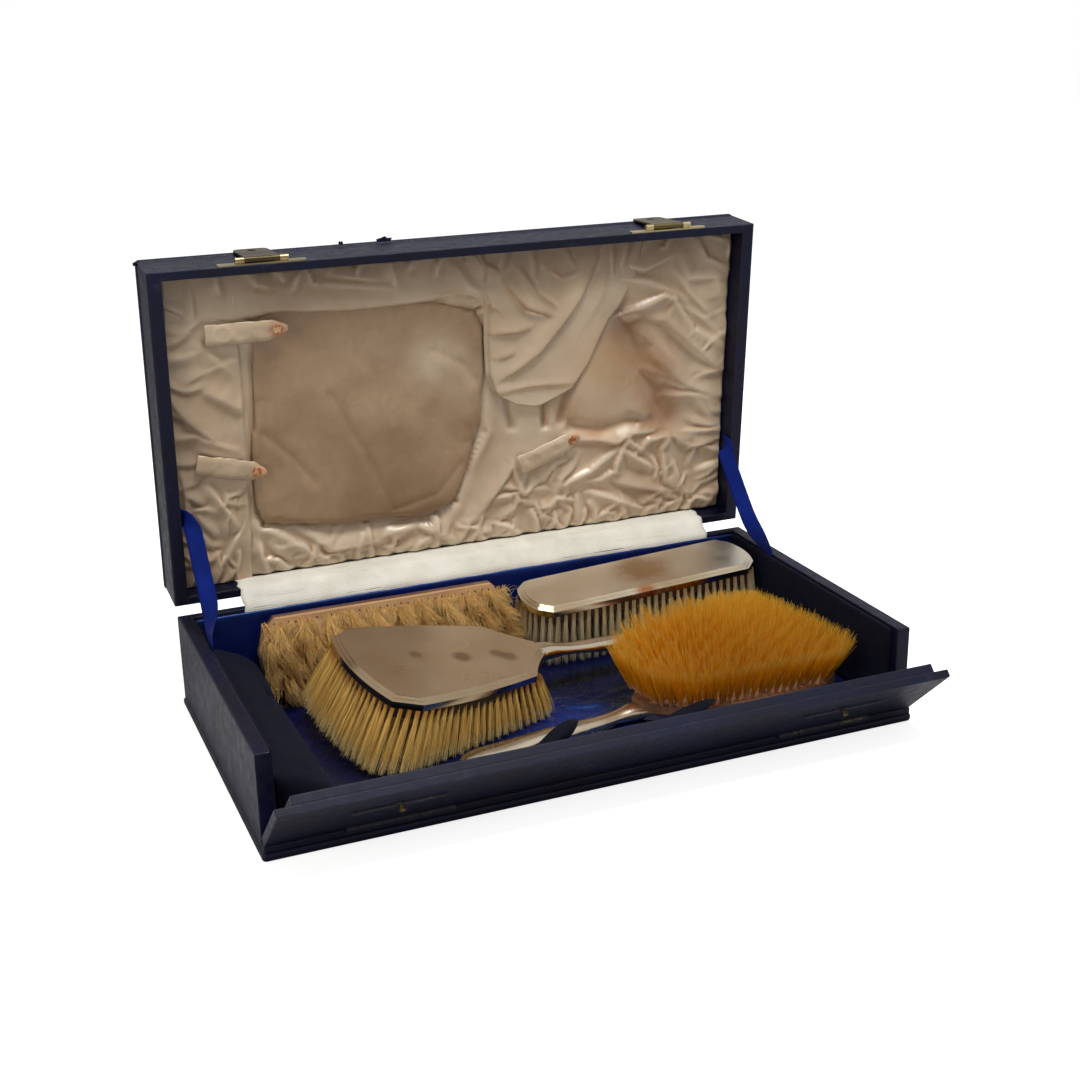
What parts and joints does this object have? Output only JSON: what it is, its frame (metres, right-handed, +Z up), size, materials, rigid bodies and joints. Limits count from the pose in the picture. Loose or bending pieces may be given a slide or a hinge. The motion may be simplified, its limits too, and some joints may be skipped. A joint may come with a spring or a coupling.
{
  "type": "cased brush set",
  "caption": "Covered case with a hinged lid and a fall front, satin-lined, holding hand hairbrushes and clothes brushes with metal backs.",
  "frame": {"origin": "on the table under the middle of the base board walls, at the underside of the base board", "axes": "+X along the case, to the right seen from the front; +Y to the back, where the lid is hinged; +Z up"},
  "size_m": [0.3824, 0.2723, 0.266],
  "materials": {
    "leatherette": "navy grained leathercloth glued over thin board",
    "velvet": "dark navy velvet over card",
    "blue_satin": "deep blue satin over card",
    "ivory_satin": "aged ivory satin over wadding",
    "ivory_ribbon": "off-white ribbed ribbon",
    "blue_ribbon": "royal blue satin ribbon",
    "brass": "aged brass",
    "steel_stud": "rusted press stud",
    "silver": "tarnished polished silver sheet",
    "wood": "pale sealed hardwood",
    "gold_bristle": "golden natural bristle",
    "amber_bristle": "amber natural bristle",
    "pale_bristle": "pale natural bristle"
  },
  "bodies": {
    "base": {"base_board": "leatherette", "front_sill": "leatherette", "left_wall": "leatherette", "right_wall": "leatherette", "back_wall": "leatherette", "floor_pad": "velvet", "left_liner": "velvet", "right_liner": "velvet", "back_liner": "blue_satin", "left_bolster": "velvet", "handle_rest_left": "velvet", "handle_rest_right": "velvet", "lid_hinge_base_leaves": "brass", "lid_hinge_pins": "brass", "fall_hinge_base_leaves": "brass", "fall_hinge_pins": "brass", "hinge_cover": "ivory_ribbon", "left_ribbon": "blue_ribbon", "right_ribbon": "blue_ribbon"},
    "lid": {"lid_board": "leatherette", "lid_left_wall": "leatherette", "lid_right_wall": "leatherette", "lid_front_wall": "leatherette", "lid_back_wall": "leatherette", "lid_lining": "ivory_satin", "mirror_pad": "ivory_satin", "left_gather": "ivory_satin", "lower_gather": "ivory_satin", "right_gather": "ivory_satin", "pouch_fold": "ivory_satin", "right_drape": "ivory_satin", "stud_tab_upper": "ivory_satin", "stud_tab_lower": "ivory_satin", "stud_tab_right": "ivory_satin", "tab_studs": "steel_stud", "lid_hinge_lid_leaves": "brass", "hasp_plates": "brass", "hasp_pins": "brass"},
    "fall_front": {"fall_panel": "leatherette", "fall_inner_panel": "leatherette", "fall_hinge_leaves": "brass", "keeper_plates": "brass", "keeper_studs": "brass", "keeper_tacks": "brass"},
    "hasp_left": {"hasp_tongue_left": "brass"},
    "hasp_right": {"hasp_tongue_right": "brass"},
    "hairbrush_left": {"hairbrush_left_shell": "silver", "hairbrush_left_wood": "wood", "hairbrush_left_bristles": "gold_bristle"},
    "hairbrush_right": {"hairbrush_right_shell": "silver", "hairbrush_right_wood": "wood", "hairbrush_right_bristles": "amber_bristle"},
    "clothes_brush_left": {"clothes_brush_left_shell": "silver", "clothes_brush_left_wood": "wood", "clothes_brush_left_bristles": "pale_bristle"},
    "clothes_brush_right": {"clothes_brush_right_shell": "silver", "clothes_brush_right_wood": "wood", "clothes_brush_right_bristles": "pale_bristle"}
  },
  "joints": [
    {"name": "lid_hinge", "type": "hinge", "parent": "base", "child": "lid", "pos_m": [0, 0.1024, 0.0576], "axis": [-1, 0, 0], "range_deg": [-86.3, 0], "deforming": ["hinge_cover", "left_ribbon", "right_ribbon"]},
    {"name": "fall_hinge", "type": "hinge", "parent": "base", "child": "fall_front", "pos_m": [0, -0.102, 0.0086], "axis": [1, 0, 0], "range_deg": [-46, 50]},
    {"name": "hasp_left_hinge", "type": "hinge", "parent": "lid", "child": "hasp_left", "pos_m": [-0.125, 0.09223, 0.26443], "axis": [-1, 0, 0], "range_deg": [-184.7, 0]},
    {"name": "hasp_right_hinge", "type": "hinge", "parent": "lid", "child": "hasp_right", "pos_m": [0.13, 0.09223, 0.26443], "axis": [-1, 0, 0], "range_deg": [-184.7, 0]},
    {"name": "hairbrush_left_lift", "type": "slide", "parent": "base", "child": "hairbrush_left", "axis": [0, 0, 1], "range_m": [0, 0.11]},
    {"name": "hairbrush_right_lift", "type": "slide", "parent": "base", "child": "hairbrush_right", "axis": [0, 0, 1], "range_m": [0, 0.11]},
    {"name": "clothes_brush_left_lift", "type": "slide", "parent": "base", "child": "clothes_brush_left", "axis": [0, 0, 1], "range_m": [0, 0.11]},
    {"name": "clothes_brush_right_lift", "type": "slide", "parent": "base", "child": "clothes_brush_right", "axis": [0, 0, 1], "range_m": [0, 0.11]}
  ]
}
